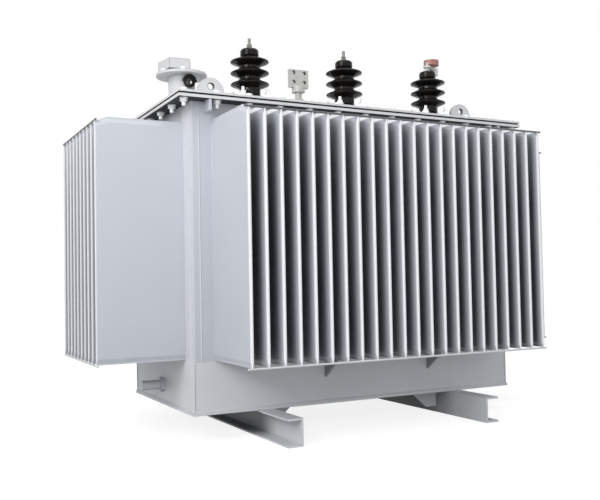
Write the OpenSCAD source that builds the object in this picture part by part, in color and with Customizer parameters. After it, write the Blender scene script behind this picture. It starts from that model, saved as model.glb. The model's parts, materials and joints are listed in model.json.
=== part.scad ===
// Three-phase oil-filled distribution transformer in a sealed corrugated tank.
// Millimetres. X runs along the tank, Y across it and Z up. The origin is on the
// floor under the middle of the tank, and the high-voltage side faces -Y.

/* [Tank] */
// Length of the tank over its end walls
tank_length = 1190; // [1100:10:1400]
// Width of the tank over its long walls
tank_width = 600; // [560:10:760]
// Thickness of the floor plate of the tank
floor_plate = 9; // [6:1:12]
// How far the floor plate stands out past the walls, for its weld
floor_lip = 5; // [3:1:10]
// Height of the plain box between the floor plate and the fins
box_height = 147; // [120:1:200]
// Thickness of the plain box walls
box_wall = 6; // [4:1:10]
// Leg of the angle that closes each corner
post_leg = 25; // [20:1:35]
// Thickness of the corner angle
post_wall = 4; // [3:1:6]

/* [Cooling fins] */
// Thickness of the folded sheet
sheet = 1.5; // [1:0.1:2.5]
// Distance from one fin to the next
fin_pitch = 50; // [40:1:60]
// Thickness of a fin over its two sheets
fin_thick = 12; // [10:0.5:16]
// How far a fin stands out from its wall
fin_depth = 270; // [200:5:320]
// Height of a fin over its welded ends
fin_height = 725; // [640:1:760]
// Gap from the plain box to the lower end of the fins
fin_start = 4; // [3:1:20]
// Gap from the upper end of the fins to the flange
fin_head = 52; // [46:1:90]
// Least flat margin between a corner and the first fin
fin_margin = 60; // [50:1:80]
// Height over which each end of a fin is pinched together
pinch_height = 12; // [8:1:40]
// Height of the flat welded lip at each end of a fin
lip_height = 5; // [3:1:12]
// Gap between the two sheets just behind the welded lip
lip_gap = 1; // [0.5:0.5:3]
// How far the upper outer corner of a fin slopes down
corner_drop = 16; // [8:1:24]
// Length of that slope along the fin
corner_reach = 38; // [20:1:60]
// Radius of the rods that tie the fin tips together
rod_r = 3; // [2:0.5:5]
// How far the rods run past the last fin
rod_end = 6; // [0:1:15]

/* [Fin brackets] */
// Fins from one bracket to the next, counted from the left end
bracket_fin_count = 8; // [5:1:9]
// Reach of a bracket under the fins
bracket_reach = 100; // [60:5:160]
// Height of a bracket on the box wall
bracket_height = 72; // [40:1:90]
// Thickness of the bracket plate
bracket_thick = 8; // [5:1:10]

/* [Flange and cover] */
// How far flange and cover stand out past the tank walls
rim_reach = 54; // [45:1:70]
// Width of the flange that lies inside the wall
rim_inner = 10; // [8:1:20]
// Thickness of the flange
flange_thick = 9; // [8:1:16]
// Thickness of the pressed gasket
gasket_thick = 5; // [2:0.5:6]
// How far the gasket lies back from the edge of the flange
gasket_inset = 4; // [2:1:10]
// Width of the gasket strip
gasket_width = 50; // [30:1:56]
// Thickness of the cover plate
cover_thick = 7; // [6:1:12]
// Height of the gusset plates under the flange
rim_gusset_height = 34; // [24:1:45]
// How far those gusset plates lie back from the edge of the flange
rim_gusset_inset = 2; // [0:1:10]
// Thickness of those gusset plates
rim_gusset_thick = 8; // [5:1:10]
// Distance of those gusset plates from the end of the tank
rim_gusset_place = 44; // [30:1:50]

/* [Base channels] */
// Distance between the webs of the two base channels
channel_gauge = 674; // [550:2:820]
// Length of a base channel across the tank
channel_length = 994; // [800:2:1100]
// Height of a base channel
channel_height = 82; // [60:1:120]
// Width of the channel flanges, which point outward
channel_flange = 50; // [40:1:65]
// Thickness of the channel web and flanges
channel_wall = 6; // [4:1:8]
// Reach of the gusset plates between floor plate and web
foot_gusset_reach = 108; // [80:1:130]
// Gap between those gusset plates and the floor under the channels
foot_gusset_gap = 21; // [10:1:30]
// Width of the blunt lower end of those gusset plates
foot_gusset_toe = 40; // [30:1:50]
// Distance of those gusset plates behind the long walls
foot_gusset_place = 79; // [20:1:100]
// Thickness of those gusset plates
foot_gusset_thick = 10; // [6:1:14]

/* [High-voltage bushings] */
// Distance between a lifting lug and the high-voltage bushing nearest to it, along the tank
hv_lug_gap = 139; // [110:1:200]
// Distance of the high-voltage bushings behind the front wall
hv_side = 100; // [80:5:130]
// Radius of the three sheds
hv_shed_r = 62.5; // [50:0.5:70]
// Radius of the porcelain between the sheds
hv_neck_r = 34; // [28:1:38]
// Height of the first shed rim above the cover
hv_first_shed = 72; // [66:1:90]
// Distance from one shed to the next
hv_shed_pitch = 37; // [34:1:45]
// Radius of the porcelain foot on the cover
hv_foot_r = 52; // [46:1:58]
// Height of the porcelain foot
hv_foot_height = 20; // [14:1:26]
// Radius of the porcelain head
hv_head_r = 30; // [26:1:33]
// Height of the porcelain head
hv_head_height = 26; // [20:1:32]
// Radius of the high-voltage stud
hv_stud_r = 5; // [4:0.5:7]
// Length of the stud above its nut
hv_stud_length = 20; // [14:1:40]
// Radius of the round cap on the line clamp of the right stud
line_cap_r = 27.5; // [20:0.5:28]
// Height of that cap
line_cap_height = 19; // [12:1:22]

/* [Low-voltage bushings] */
// Pitch of the low-voltage bushings as a share of the high-voltage pitch
lv_share = 0.58; // [0.5:0.01:0.6]
// Distance of the low-voltage bushings in front of the back wall
lv_side = 158; // [130:2:190]
// Radius of the low-voltage sheds
lv_shed_r = 52; // [44:1:60]
// Radius of the low-voltage porcelain between its sheds
lv_neck_r = 30; // [26:1:36]
// Height of the low-voltage porcelain
lv_height = 104; // [98:1:126]
// Radius of the low-voltage stud
lv_stud_r = 12.5; // [10:0.5:16]
// Length of the stud between its nut and the palm
lv_stud_length = 28; // [16:1:40]
// Width of the terminal palm
palm_width = 80; // [76:1:100]
// Height of the flat of the terminal palm
palm_height = 65; // [62:1:90]
// Thickness of the terminal palm
palm_thick = 16; // [8:1:16]
// Distance between the palm holes along the tank
palm_hole_x = 45; // [40:1:50]
// Distance between the palm holes upward
palm_hole_z = 36; // [32:1:40]
// Radius of the palm holes
palm_hole_r = 6; // [5:0.5:9]
// Radius of the clamping barrel under the palm
palm_barrel_r = 25; // [22:1:30]
// Height of the clamping barrel
palm_barrel_height = 22; // [18:1:36]
// Size of the neutral bushing against a phase bushing
neutral_scale = 0.75; // [0.6:0.05:0.85]
// Distance between the neutral bushing and the phase bushing nearest to it
neutral_gap = 185; // [170:1:195]

/* [Cover fittings] */
// Distance of the lifting lugs from the end walls
lug_end = 101; // [80:1:145]
// Distance of the lifting lugs from the long walls
lug_side = 95; // [60:5:120]
// Radius of the round head of a lifting lug, which is half its width
lug_r = 44; // [36:1:50]
// Height of the straight sides of a lifting lug
lug_straight = 36; // [28:1:45]
// Distance of the lug hole below the top of the lug
lug_hole_drop = 27; // [20:1:34]
// Radius of the lug hole
lug_hole_r = 10; // [8:0.5:13]
// Thickness of a lifting lug
lug_thick = 12; // [8:1:16]
// Distance of the oil gauge pipe from the left end wall
gauge_end = 43; // [40:1:60]
// Distance of the oil gauge pipe behind the front wall
gauge_side = 200; // [180:5:260]
// Outer radius of the oil gauge pipe
gauge_r = 43; // [36:1:48]
// Wall of the oil gauge pipe
gauge_wall = 4; // [3:0.5:6]
// Height of the oil gauge pipe
gauge_height = 100; // [98:1:130]
// Radius of the top flange of the pipe
gauge_flange_r = 81.5; // [78:0.5:84]
// Thickness of the top flange of the pipe
gauge_flange_thick = 9; // [5:1:10]
// Outer radius of the sight window
window_r = 19; // [16:0.5:20]
// Outer radius of the half-round hood over the window
hood_r = 23; // [23:0.5:26]
// Distance of the window face from the pipe axis
window_reach = 62; // [56:1:70]
// Height of the window above the cover
window_height = 74; // [60:1:77]
// Angle by which the window faces to the right, seen from the front
window_turn = 5; // [-15:1:15]
// Length of the front of the relief cap along the tank
cap_length = 66; // [50:1:74]
// Width of the relief cap across the tank
cap_width = 80; // [60:1:84]
// How far each side of the relief cap flares out to the back
cap_flare = 21; // [0:1:24]
// Height of the relief cap
cap_height = 33; // [30:1:60]
// Gap under the relief cap, where its neck shows
cap_gap = 11; // [2:1:16]
// How far the relief cap lies left of the pipe axis
cap_shift = 14; // [0:1:24]
// Angle by which the relief cap is turned clockwise, seen from above
cap_turn = 6.5; // [0:0.5:15]
// Height of the drain pipe above the floor plate
drain_height = 54; // [40:1:70]
// Radius of the drain pipe
drain_r = 15; // [12:1:20]
// Reach of the drain pipe from the end wall
drain_reach = 70; // [50:1:90]

/* [Hidden] */
$fn = 64;

// Colours of the finishes
PAINT = [0.80, 0.82, 0.86];
LOWER_PAINT = [0.66, 0.69, 0.74];
RUBBER = [0.06, 0.06, 0.06];
GLAZE = [0.10, 0.07, 0.06];
TIN = [0.78, 0.78, 0.76];
BRASS = [0.72, 0.55, 0.30];
COPPER = [0.72, 0.42, 0.32];

// Heights of the stacked pieces above the floor
floor_z = channel_height;
box_z = floor_z + floor_plate;
wall_z = box_z + box_height;
fin_z = wall_z + fin_start;
wall_height = fin_start + fin_height + fin_head;
flange_z = wall_z + wall_height;
gasket_z = flange_z + flange_thick;
cover_z = gasket_z + gasket_thick;
top_z = cover_z + cover_thick;

// Half sizes of the tank and its rim
half_l = tank_length / 2;
half_w = tank_width / 2;
rim_l = half_l + rim_reach;
rim_w = half_w + rim_reach;

// Fins that fit on a wall of a given length
function fin_count(length) =
    floor((length - 2 * fin_margin - fin_thick) / fin_pitch) + 1;
fins_long = fin_count(tank_length);
fins_short = fin_count(tank_width);

// Places on the cover, measured from its middle
lug_x = half_l - lug_end;
lug_y = half_w - lug_side;
hv_spacing = lug_x - hv_lug_gap;
hv_row = half_w - hv_side;
lv_row = half_w - lv_side;
lv_spacing = round(lv_share * hv_spacing);
neutral_x = lv_spacing + neutral_gap;
gauge_x = half_l - gauge_end;
gauge_y = half_w - gauge_side;

// Cutters run this far past the face that they cut
cut = 1;

// Repeats its children in a row of fins, centred on the wall
module fin_row(count) {
    for (i = [0 : count - 1])
        translate([(i - (count - 1) / 2) * fin_pitch, 0, 0]) children();
}

// Turns a wall made along X with its outer face on Y = 0 to one of the four sides
module on_side(side) {
    turn = side == "front" ? 0 : side == "right" ? 90 : side == "back" ? 180 : 270;
    reach = (side == "front" || side == "back") ? half_w : half_l;
    rotate([0, 0, turn]) translate([0, -reach, 0]) children();
}

// Base channel with its web on Y = 0 and its flanges towards -Y, cut to length along X
module channel() {
    rotate([90, 0, 90])
        linear_extrude(channel_length, center = true)
            difference() {
                translate([-channel_flange, 0]) square([channel_flange, channel_height]);
                translate([-channel_flange - cut, channel_wall])
                    square([channel_flange + cut - channel_wall,
                            channel_height - 2 * channel_wall]);
            }
}

module base_channels() {
    color(LOWER_PAINT)
        for (turn = [0, 180])
            rotate([0, 0, turn]) translate([-channel_gauge / 2, 0, 0]) rotate([0, 0, 270])
                channel();
}

// Plate that ties a channel web to the floor plate, seen along Y
module foot_gusset() {
    height = channel_height - foot_gusset_gap;
    rotate([90, 0, 0])
        linear_extrude(foot_gusset_thick, center = true)
            polygon([
                [0, 0], [-foot_gusset_reach, 0], [-foot_gusset_toe, -height], [0, -height]
            ]);
}

module foot_gussets() {
    place_y = half_w - foot_gusset_place;
    color(LOWER_PAINT)
        for (side = [0, 1], end = [-1, 1])
            mirror([side, 0, 0])
                translate([channel_gauge / 2, end * place_y, floor_z]) foot_gusset();
}

module floor_plate() {
    size = [tank_length + 2 * floor_lip, tank_width + 2 * floor_lip, floor_plate];
    color(LOWER_PAINT)
        translate([-size[0] / 2, -size[1] / 2, floor_z]) cube(size);
}

// Plain wall below the fins
module box_panel(side, length) {
    color(LOWER_PAINT)
        on_side(side) translate([-length / 2, 0, box_z]) cube([length, box_wall, box_height]);
}

// Sizes of a fin, outside and in the oil space inside it
fin_inside = fin_thick - 2 * sheet;
lip_thick = 2 * sheet + lip_gap;
corner_slope = atan(corner_drop / corner_reach);
corner_run = fin_height + fin_depth;

// Plan of a fin: straight sides from the wall to a round fold
module fin_plan(thick, depth, root) {
    translate([-thick / 2, thick / 2 - depth]) square([thick, depth - thick / 2 + root]);
    translate([0, thick / 2 - depth]) circle(d = thick);
}

// Height in which a pinched end widens from its lip to a cutter's width past the fin
function pinch_run(lip, width, pinch) = pinch * (width + 2 * cut - lip) / (width - lip);

// Elevation of a fin along its wall: pinched ends from low to high, and lips past them
module fin_elevation(low, high, ends, lip, width, pinch) {
    run = pinch_run(lip, width, pinch);
    wide = width + 2 * cut;
    polygon([
        [-lip / 2, low], [-wide / 2, low + run], [-wide / 2, high - run], [-lip / 2, high],
        if (ends > 0) each [[-lip / 2, high + ends], [lip / 2, high + ends]],
        [lip / 2, high], [wide / 2, high - run], [wide / 2, low + run], [lip / 2, low],
        if (ends > 0) each [[lip / 2, low - ends], [-lip / 2, low - ends]]
    ]);
}

// Taper of the lip on the sloping corner, which keeps its faces off those of the upper lip
lip_taper = 0.2;

// All that lies under the sloping corner: a pinched end at a depth below it, and a lip past that
module under_corner(depth, ends, lip, width, pinch) {
    run = pinch_run(lip, width, pinch);
    wide = width + 2 * cut;
    inner = lip / 2 - lip_taper;
    outer = lip / 2 + lip_taper;
    translate([0, -fin_depth, fin_height - corner_drop])
        rotate([corner_slope, 0, 0]) rotate([90, 0, 0])
            linear_extrude(2 * corner_run, center = true)
                polygon([
                    [-outer, -depth],
                    if (ends > 0) each [[-inner, ends - depth], [inner, ends - depth]],
                    [outer, -depth], [wide / 2, -depth - run],
                    [wide / 2, -corner_run], [-wide / 2, -corner_run], [-wide / 2, -depth - run]
                ]);
}

// Outside of a fin, with a flat welded lip above and below
module fin_body() {
    intersection() {
        linear_extrude(fin_height) fin_plan(fin_thick, fin_depth, 0);
        translate([0, cut, 0]) rotate([90, 0, 0])
            linear_extrude(fin_depth + 2 * cut)
                fin_elevation(lip_height, fin_height - lip_height, lip_height, lip_thick,
                              fin_thick, pinch_height);
        under_corner(lip_height, lip_height, lip_thick, fin_thick, pinch_height);
    }
}

// Elevation of the oil space inside a fin, and of the slot in the wall behind it
module fin_slot() {
    fin_elevation(lip_height + sheet, fin_height - lip_height - sheet, 0, lip_gap, fin_inside,
                  pinch_height - sheet);
}

// Oil space inside a fin, open to the tank
module fin_space() {
    intersection() {
        linear_extrude(fin_height) fin_plan(fin_inside, fin_depth - sheet, cut);
        translate([0, 2 * cut, 0]) rotate([90, 0, 0])
            linear_extrude(fin_depth + 3 * cut) fin_slot();
        under_corner(lip_height + sheet, 0, lip_gap, fin_inside, pinch_height - sheet);
    }
}

// Wall sheet between two corner angles, with a slot behind each fin
module wall_sheet(side, length, count) {
    width = length - 2 * post_leg;
    on_side(side)
        difference() {
            translate([-width / 2, 0, wall_z]) cube([width, sheet, wall_height]);
            translate([0, sheet + cut, fin_z]) fin_row(count)
                rotate([90, 0, 0]) linear_extrude(sheet + 2 * cut) fin_slot();
        }
}

module wall_sheets() {
    color(PAINT) {
        for (side = ["front", "back"]) wall_sheet(side, tank_length, fins_long);
        for (side = ["left", "right"]) wall_sheet(side, tank_width, fins_short);
    }
}

// Row of hollow fins, welded onto the outer face of a wall sheet
module fins(side, count) {
    color(PAINT)
        on_side(side) translate([0, 0, fin_z])
            fin_row(count)
                difference() {
                    fin_body();
                    fin_space();
                }
}

// Angle that closes a corner between two corrugated walls
module corner_post() {
    linear_extrude(wall_height)
        difference() {
            square(post_leg);
            translate([post_wall, post_wall]) square(post_leg);
        }
}

module corner_posts() {
    color(PAINT)
        for (mx = [0, 1], my = [0, 1])
            mirror([mx, 0, 0]) mirror([0, my, 0])
                translate([-half_l, -half_w, wall_z]) corner_post();
}

// Two rods across the fin tips of one wall, one on the sloping corners and one below
module rod_pair(side, count) {
    length = (count - 1) * fin_pitch + fin_thick + 2 * rod_end;
    upper_z = fin_height - corner_drop + rod_r * tan(corner_slope) + rod_r / cos(corner_slope);
    for (z = [upper_z, -rod_r])
        on_side(side)
            translate([0, rod_r - fin_depth, fin_z + z]) rotate([0, 90, 0])
                cylinder(r = rod_r, h = length, center = true);
}

module fin_rods() {
    color(PAINT) {
        for (side = ["front", "back"]) rod_pair(side, fins_long);
        for (side = ["left", "right"]) rod_pair(side, fins_short);
    }
}

// Triangular plate on the box wall, in the gap beside a fin
module fin_bracket() {
    translate([-bracket_thick / 2, 0, wall_z]) rotate([90, 0, 90])
        linear_extrude(bracket_thick)
            polygon([[0, 0], [-bracket_reach, 0], [0, -bracket_height]]);
}

module fin_brackets() {
    color(LOWER_PAINT)
        for (side = ["front", "back"])
            on_side(side)
                for (i = [bracket_fin_count : bracket_fin_count : fins_long - 1])
                    translate([(i - fins_long / 2) * fin_pitch, 0, 0]) fin_bracket();
}

// One side of the flange frame
module flange_bar(side, length) {
    color(PAINT)
        on_side(side)
            translate([-length / 2, -rim_reach, flange_z])
                cube([length, rim_reach + rim_inner, flange_thick]);
}

module flange_gussets() {
    color(PAINT)
        for (mx = [0, 1], my = [0, 1])
            mirror([mx, 0, 0]) mirror([0, my, 0])
                translate([-half_l + rim_gusset_place - rim_gusset_thick / 2,
                           -half_w - rim_reach + rim_gusset_inset, flange_z - rim_gusset_height])
                    cube([rim_gusset_thick, rim_reach - rim_gusset_inset, rim_gusset_height]);
}

module rim_gasket() {
    outer = [2 * (rim_l - gasket_inset), 2 * (rim_w - gasket_inset)];
    inner = [outer[0] - 2 * gasket_width, outer[1] - 2 * gasket_width];
    color(RUBBER)
        translate([0, 0, gasket_z])
            linear_extrude(gasket_thick)
                difference() {
                    square(outer, center = true);
                    square(inner, center = true);
                }
}

module cover_plate() {
    color(PAINT)
        translate([-rim_l, -rim_w, cover_z]) cube([2 * rim_l, 2 * rim_w, cover_thick]);
}

// Half outline of one shed, round at its rim: points from below to above
function shed(z, root_r, rim_r, drop, rise, tip) = [
    [root_r, z - drop],
    [rim_r - tip, z - tip],
    for (a = [-60 : 30 : 60]) [rim_r - tip + tip * cos(a), z + tip * sin(a)],
    [rim_r - tip, z + tip],
    [root_r, z + rise]
];

foot_step = 8;
hv_foot_taper = 18;
hv_shed_drop = 14;
hv_shed_rise = 15;
hv_shed_tip = 3;
hv_head_gap = 2;
hv_head_lip = 3;
hv_head_rise = 4;
hv_head_round = 9;
hv_last_shed = hv_first_shed + 2 * hv_shed_pitch;
hv_head_z = hv_last_shed + hv_shed_rise + hv_head_gap;
hv_top = hv_head_z + hv_head_height;

// Porcelain of a high-voltage bushing, standing on Z = 0
module hv_porcelain() {
    rotate_extrude()
        polygon([
            [0, 0], [hv_foot_r, 0], [hv_foot_r, hv_foot_height],
            [hv_foot_r - foot_step, hv_foot_height], [hv_neck_r, hv_foot_height + hv_foot_taper],
            for (i = [0 : 2])
                each shed(hv_first_shed + i * hv_shed_pitch, hv_neck_r, hv_shed_r,
                          hv_shed_drop, hv_shed_rise, hv_shed_tip),
            [hv_head_r - hv_head_lip, hv_head_z],
            [hv_head_r, hv_head_z + hv_head_rise],
            for (a = [0 : 15 : 90])
                [hv_head_r - hv_head_round * (1 - cos(a)),
                 hv_top - hv_head_round * (1 - sin(a))],
            [0, hv_top]
        ]);
}

module hv_bushing(place) {
    color(GLAZE)
        translate([place * hv_spacing, -hv_row, top_z]) hv_porcelain();
}

washer_height = 3;
washer_ratio = 2.2;
nut_ratio = 1.85;
hv_nut_height = 12;
lv_nut_height = 20;

// Stud with its washer and nut on top of the porcelain
module stud_and_nut(r, nut, free_length) {
    cylinder(r = washer_ratio * r, h = washer_height);
    translate([0, 0, washer_height]) cylinder(r = nut_ratio * r, h = nut, $fn = 6);
    cylinder(r = r, h = washer_height + nut + free_length);
}

// Places its children on the head of a high-voltage bushing
module at_hv_head(place) {
    translate([place * hv_spacing, -hv_row, top_z + hv_top]) children();
}

module hv_stud(place) {
    color(BRASS) at_hv_head(place) stud_and_nut(hv_stud_r, hv_nut_height, hv_stud_length);
}

// Line clamp: strap on the nut, jaw block at the far end and a boss on it that carries the cap
clamp_z = washer_height + hv_nut_height;
clamp_strap_thick = 4;
clamp_strap_width = 16;
clamp_eye_r = 14;
clamp_eye_height = 6;
clamp_bore_gap = 0.5;
clamp_cap_rise = 10;
clamp_cap_middle = [35, 21.5];
jaw_size = [31, 18, 28];
jaw_middle = [50, 31];
jaw_drop = 2;
jaw_boss_r = 6;
jaw_boss_shift = 6;
clamp_turn = atan2(jaw_middle[1], jaw_middle[0]);
clamp_cap_z = clamp_z + clamp_eye_height + clamp_cap_rise;

module line_clamp() {
    color(TIN)
        at_hv_head(1)
            difference() {
                union() {
                    translate([0, 0, clamp_z]) {
                        cylinder(r = clamp_eye_r, h = clamp_eye_height);
                        translate([0, 0, (clamp_eye_height - clamp_strap_thick) / 2])
                            rotate([0, 0, clamp_turn])
                                translate([0, -clamp_strap_width / 2, 0])
                                    cube([norm(jaw_middle), clamp_strap_width, clamp_strap_thick]);
                    }
                    translate([jaw_middle[0] - jaw_size[0] / 2, jaw_middle[1] - jaw_size[1] / 2,
                               -jaw_drop])
                        cube(jaw_size);
                    translate([jaw_middle[0] - jaw_boss_shift, jaw_middle[1], 0])
                        cylinder(r = jaw_boss_r, h = clamp_cap_z);
                }
                translate([0, 0, clamp_z - cut])
                    cylinder(r = hv_stud_r + clamp_bore_gap, h = clamp_eye_height + 2 * cut);
            }
}

module line_clamp_cap() {
    color(COPPER)
        at_hv_head(1)
            translate([clamp_cap_middle[0], clamp_cap_middle[1], clamp_cap_z])
                cylinder(r = line_cap_r, h = line_cap_height);
}

lv_foot_r = 50;
lv_foot_height = 16;
lv_foot_taper = 12;
lv_shed_drop = 10;
lv_shed_rise = 12;
lv_shed_tip = 3;
lv_shed_pitch = 32;
lv_head = 20;
lv_edge = 3;

// Porcelain of a low-voltage bushing, standing on Z = 0
module lv_porcelain() {
    last_shed = lv_height - lv_head;
    rotate_extrude()
        polygon([
            [0, 0], [lv_foot_r, 0], [lv_foot_r, lv_foot_height],
            [lv_foot_r - foot_step, lv_foot_height], [lv_neck_r, lv_foot_height + lv_foot_taper],
            for (z = [last_shed - lv_shed_pitch, last_shed])
                each shed(z, lv_neck_r, lv_shed_r, lv_shed_drop, lv_shed_rise, lv_shed_tip),
            [lv_neck_r, lv_height - lv_edge], [lv_neck_r - lv_edge, lv_height], [0, lv_height]
        ]);
}

module lv_bushing(place) {
    color(GLAZE)
        translate([place * lv_spacing, lv_row, top_z]) lv_porcelain();
}

palm_root = 4;
palm_hole_rise = 3;

// Stud, nut and clamping barrel with the flat palm and its four holes
module lv_terminal() {
    barrel_z = washer_height + lv_nut_height + lv_stud_length;
    flat_z = barrel_z + palm_barrel_height;
    hole_z = flat_z + palm_height / 2 + palm_hole_rise;
    stud_and_nut(lv_stud_r, lv_nut_height, lv_stud_length + palm_barrel_height / 2);
    translate([0, 0, barrel_z]) cylinder(r = palm_barrel_r, h = palm_barrel_height);
    difference() {
        translate([-palm_width / 2, -palm_thick / 2, flat_z - palm_root])
            cube([palm_width, palm_thick, palm_height + palm_root]);
        for (sx = [-1, 1], sz = [-1, 1])
            translate([sx * palm_hole_x / 2, 0, hole_z + sz * palm_hole_z / 2])
                rotate([90, 0, 0])
                    cylinder(r = palm_hole_r, h = palm_thick + 2 * cut, center = true);
    }
}

module lv_palm(place) {
    color(TIN)
        translate([place * lv_spacing, lv_row, top_z + lv_height]) lv_terminal();
}

neutral_stud_r = 10;
neutral_nut_height = 10;
neutral_stud_length = 35;

module neutral_bushing() {
    color(GLAZE)
        translate([-neutral_x, lv_row, top_z]) scale(neutral_scale) lv_porcelain();
}

module neutral_stud() {
    color(TIN)
        translate([-neutral_x, lv_row, top_z + lv_height * neutral_scale])
            stud_and_nut(neutral_stud_r, neutral_nut_height, neutral_stud_length);
}

claw_width = 22;
claw_height = 32;
claw_reach = 30;
claw_grip = 6;
claw_gap = 2;
claw_foot_gap = 4;
claw_toe = 10;
claw_slope = 8;
claw_nose = 4;
claw_nose_drop = 5;

// Claw that holds a porcelain foot down, seen along its width
module claw(foot_r, foot_height) {
    rotate([90, 0, 0])
        linear_extrude(claw_width, center = true)
            polygon([
                [foot_r - claw_grip, foot_height], [foot_r + claw_gap, foot_height],
                [foot_r + claw_foot_gap, 0], [foot_r + claw_reach, 0],
                [foot_r + claw_reach, claw_toe],
                [foot_r + claw_reach - claw_slope, claw_height],
                [foot_r - claw_grip + claw_nose, claw_height],
                [foot_r - claw_grip, claw_height - claw_nose_drop]
            ]);
}

module claws(foot_r, foot_height) {
    for (a = [45 : 90 : 315]) rotate([0, 0, a]) claw(foot_r, foot_height);
}

module bushing_clamps() {
    color(TIN) {
        for (place = [-1 : 1])
            translate([place * hv_spacing, -hv_row, top_z]) claws(hv_foot_r, hv_foot_height);
        for (place = [-1 : 1])
            translate([place * lv_spacing, lv_row, top_z]) claws(lv_foot_r, lv_foot_height);
        translate([-neutral_x, lv_row, top_z])
            scale(neutral_scale) claws(lv_foot_r, lv_foot_height);
    }
}

// Lifting lug, a plate across Y with a round head and an eye
module lifting_lug() {
    rotate([90, 0, 0])
        linear_extrude(lug_thick, center = true)
            difference() {
                union() {
                    translate([-lug_r, 0]) square([2 * lug_r, lug_straight]);
                    translate([0, lug_straight]) circle(r = lug_r);
                }
                translate([0, lug_straight + lug_r - lug_hole_drop]) circle(r = lug_hole_r);
                translate([-lug_r, -2 * lug_r]) square(2 * lug_r);
            }
}

module lifting_lugs() {
    color(PAINT)
        for (sx = [-1, 1], sy = [-1, 1])
            translate([sx * lug_x, sy * lug_y, top_z]) lifting_lug();
}

// Places its children on the axis of the oil gauge pipe, on the cover
module at_gauge() {
    translate([-gauge_x, -gauge_y, top_z]) children();
}

gauge_foot_r = 62;
gauge_foot_thick = 8;
window_pipe_r = 15;
window_thick = 8;
window_recess = 3;
window_rim = 5;
hood_depth = 12;
hood_back = 3;
hood_wall = 2.5;

// Vertical pipe with its foot flange and the short branch of the sight window
module oil_gauge_pipe() {
    color(PAINT)
        at_gauge()
            difference() {
                union() {
                    cylinder(r = gauge_foot_r, h = gauge_foot_thick);
                    cylinder(r = gauge_r, h = gauge_height);
                    translate([0, 0, window_height]) rotate([90, 0, window_turn])
                        cylinder(r = window_pipe_r, h = window_reach - window_thick);
                }
                translate([0, 0, -cut])
                    cylinder(r = gauge_r - gauge_wall, h = gauge_height + 2 * cut);
            }
}

module oil_gauge_flange() {
    color(PAINT)
        at_gauge() translate([0, 0, gauge_height])
            cylinder(r = gauge_flange_r, h = gauge_flange_thick);
}

// Round window with a raised ring and a half-round hood above it
module sight_window() {
    color(RUBBER)
        at_gauge() translate([0, 0, window_height]) rotate([90, 0, window_turn])
            translate([0, 0, window_reach - window_thick])
                difference() {
                    union() {
                        cylinder(r = window_r, h = window_thick);
                        intersection() {
                            translate([-hood_r, 0, 0]) cube([2 * hood_r, hood_r, hood_depth]);
                            difference() {
                                cylinder(r = hood_r, h = hood_depth);
                                translate([0, 0, hood_back])
                                    cylinder(r = hood_r - hood_wall, h = hood_depth);
                            }
                        }
                    }
                    translate([0, 0, window_thick - window_recess])
                        cylinder(r = window_r - window_rim, h = window_recess + cut);
                }
}

cap_front = 38;
cap_neck_r = 16;

// Splayed sheet hood of the relief valve, on the neck of the valve
module relief_cap() {
    front = cap_length / 2;
    back = front + cap_flare;
    color(PAINT)
        at_gauge() translate([0, 0, gauge_height + gauge_flange_thick]) {
            cylinder(r = cap_neck_r, h = cap_gap + cap_height / 2);
            translate([0, 0, cap_gap])
                rotate([0, 0, -cap_turn])
                    translate([-cap_shift, -cap_front, 0])
                        linear_extrude(cap_height)
                            polygon([[-front, 0], [front, 0],
                                     [back, cap_width], [-back, cap_width]]);
        }
}

drain_flange_r = 23;
drain_flange_thick = 12;

module drain_pipe() {
    color(LOWER_PAINT)
        translate([-half_l, 0, box_z + drain_height]) rotate([0, -90, 0]) {
            cylinder(r = drain_flange_r, h = drain_flange_thick);
            cylinder(r = drain_r, h = drain_reach);
        }
}

base_channels();
foot_gussets();
floor_plate();
box_panel("front", tank_length);  // box_wall_front
box_panel("back", tank_length);  // box_wall_back
box_panel("left", tank_width - 2 * box_wall);  // box_wall_left
box_panel("right", tank_width - 2 * box_wall);  // box_wall_right
wall_sheets();
fins("front", fins_long);  // fins_front
fins("back", fins_long);  // fins_back
fins("left", fins_short);  // fins_left
fins("right", fins_short);  // fins_right
corner_posts();
fin_rods();
fin_brackets();
flange_bar("front", 2 * rim_l);  // flange_front
flange_bar("back", 2 * rim_l);  // flange_back
flange_bar("left", 2 * (half_w - rim_inner));  // flange_left
flange_bar("right", 2 * (half_w - rim_inner));  // flange_right
flange_gussets();
rim_gasket();
cover_plate();
hv_bushing(-1);  // hv_bushing_left
hv_bushing(0);  // hv_bushing_middle
hv_bushing(1);  // hv_bushing_right
hv_stud(-1);  // hv_stud_left
hv_stud(0);  // hv_stud_middle
hv_stud(1);  // hv_stud_right
line_clamp();
line_clamp_cap();
lv_bushing(-1);  // lv_bushing_left
lv_bushing(0);  // lv_bushing_middle
lv_bushing(1);  // lv_bushing_right
lv_palm(-1);  // lv_palm_left
lv_palm(0);  // lv_palm_middle
lv_palm(1);  // lv_palm_right
neutral_bushing();
neutral_stud();
bushing_clamps();
lifting_lugs();
oil_gauge_pipe();
oil_gauge_flange();
sight_window();
relief_cap();
drain_pipe();
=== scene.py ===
"""Looks of the power transformer: fasteners, welds, fittings, finishes and the studio."""
import json
import math
import bmesh
import bpy
from bpy.props import FloatProperty, FloatVectorProperty, IntProperty, PointerProperty
from mathutils import Matrix, Vector


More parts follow.
